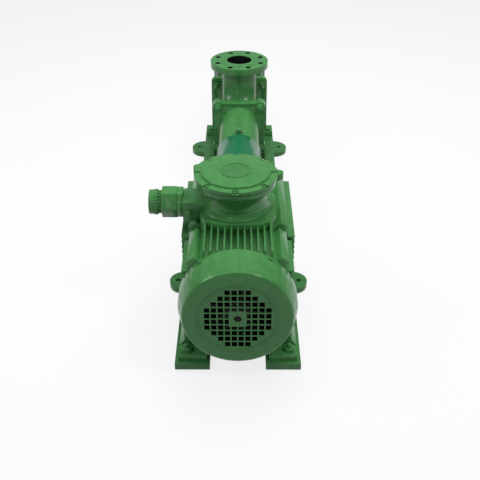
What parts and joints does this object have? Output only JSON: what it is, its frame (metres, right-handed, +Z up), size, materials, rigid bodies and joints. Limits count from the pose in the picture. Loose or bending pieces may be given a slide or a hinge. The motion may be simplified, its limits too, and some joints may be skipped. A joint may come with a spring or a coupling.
{
  "type": "progressive cavity pump",
  "caption": "Horizontal single-screw pump on a base frame: finned motor, guarded coupling, bearing housing, flanged suction casing and a rubber-lined stator held by tie rods.",
  "frame": {"origin": "on the base frame's underside, straight below the suction flange's centre", "axes": "+Z up, +Y along the shaft from the motor's fan to the discharge flange, +X to the right as seen from the fan"},
  "size_m": [0.4134, 1.5512, 0.415],
  "materials": {
    "green_enamel": "gloss enamel",
    "frame_enamel": "gloss enamel",
    "guard_enamel": "gloss enamel",
    "stator_paint": "gloss enamel",
    "bright_steel": "turned",
    "bearing_steel": "ground",
    "hard_chrome": "polished",
    "core_steel": "laminated",
    "copper_windings": "varnished",
    "black_rubber": "matt",
    "spider_rubber": "matt",
    "black_plastic": "matt",
    "brass": "plain",
    "packing": "braided",
    "grey_iron": "machined"
  },
  "bodies": {
    "pump_set": {"base_frame": "frame_enamel", "bearing_cover": "green_enamel", "bearing_housing": "green_enamel", "bearing_spacer": "bearing_steel", "casing_bolts": "green_enamel", "coupling_guard": "guard_enamel", "cover_screws": "bright_steel", "cowl_screws": "green_enamel", "discharge_casing": "green_enamel", "drain_plug": "green_enamel", "earth_screw": "green_enamel", "fan_cowl": "green_enamel", "front_end_shield": "green_enamel", "gland_body": "green_enamel", "gland_follower": "grey_iron", "gland_locknut": "green_enamel", "gland_nut": "green_enamel", "gland_seal": "black_rubber", "gland_studs": "bright_steel", "guard_screws": "guard_enamel", "housing_plug": "green_enamel", "lid_gasket": "black_rubber", "lid_screws": "green_enamel", "motor_bearing_outer_rings": "bearing_steel", "motor_foot_bolts": "green_enamel", "motor_frame": "green_enamel", "packing_rings": "packing", "pump_bearing_outer_rings": "bearing_steel", "pump_foot_bolts": "green_enamel", "rear_end_shield": "green_enamel", "shield_bolts": "green_enamel", "stator_core": "core_steel", "stator_rubber": "black_rubber", "stator_tube": "stator_paint", "stator_windings": "copper_windings", "suction_casing": "green_enamel", "terminal_block": "black_plastic", "terminal_box": "green_enamel", "terminal_box_lid": "green_enamel", "terminal_studs": "brass", "tie_rod_nuts": "green_enamel", "tie_rods": "bright_steel"},
    "drive_line": {"motor_shaft": "bright_steel", "motor_rotor": "core_steel", "cooling_fan": "black_plastic", "motor_coupling_half": "grey_iron", "coupling_spider": "spider_rubber", "pump_coupling_half": "grey_iron", "shaft_keys": "bright_steel", "drive_shaft": "bright_steel", "shaft_joint_pin": "bearing_steel", "motor_bearing_inner_rings": "bearing_steel", "pump_bearing_inner_rings": "bearing_steel"},
    "bearing_balls": {"motor_bearing_balls": "bearing_steel", "pump_bearing_balls": "bearing_steel"},
    "boots": {"joint_boots": "black_rubber"},
    "rod": {"connecting_rod": "bright_steel"},
    "rotor": {"helical_rotor": "hard_chrome", "rotor_joint_pin": "bearing_steel"}
  },
  "joints": [
    {"name": "drive_spin", "type": "hinge", "parent": "pump_set", "child": "drive_line", "pos_m": [0, 0, 0.178], "axis": [0, 1, 0], "continuous": true},
    {"name": "ball_roll", "type": "hinge", "parent": "pump_set", "child": "bearing_balls", "pos_m": [0, 0, 0.178], "axis": [0, 1, 0], "continuous": true},
    {"name": "rod_orbit", "type": "hinge", "parent": "pump_set", "child": "boots", "pos_m": [0, 0, 0.178], "axis": [0, 1, 0], "continuous": true},
    {"name": "rod_spin", "type": "hinge", "parent": "boots", "child": "rod", "pos_m": [0, -0.03, 0.178], "axis": [0.0665, 0.9978, 0], "continuous": true},
    {"name": "rotor_spin", "type": "hinge", "parent": "boots", "child": "rotor", "pos_m": [0.006, 0, 0.178], "axis": [0, 1, 0], "continuous": true}
  ],
  "couplings": [
    {"joint": "ball_roll", "follows": "drive_spin", "ratio": 0.4},
    {"joint": "rod_orbit", "follows": "drive_spin", "ratio": -1},
    {"joint": "rod_spin", "follows": "drive_spin", "ratio": 2},
    {"joint": "rotor_spin", "follows": "drive_spin", "ratio": 2}
  ]
}
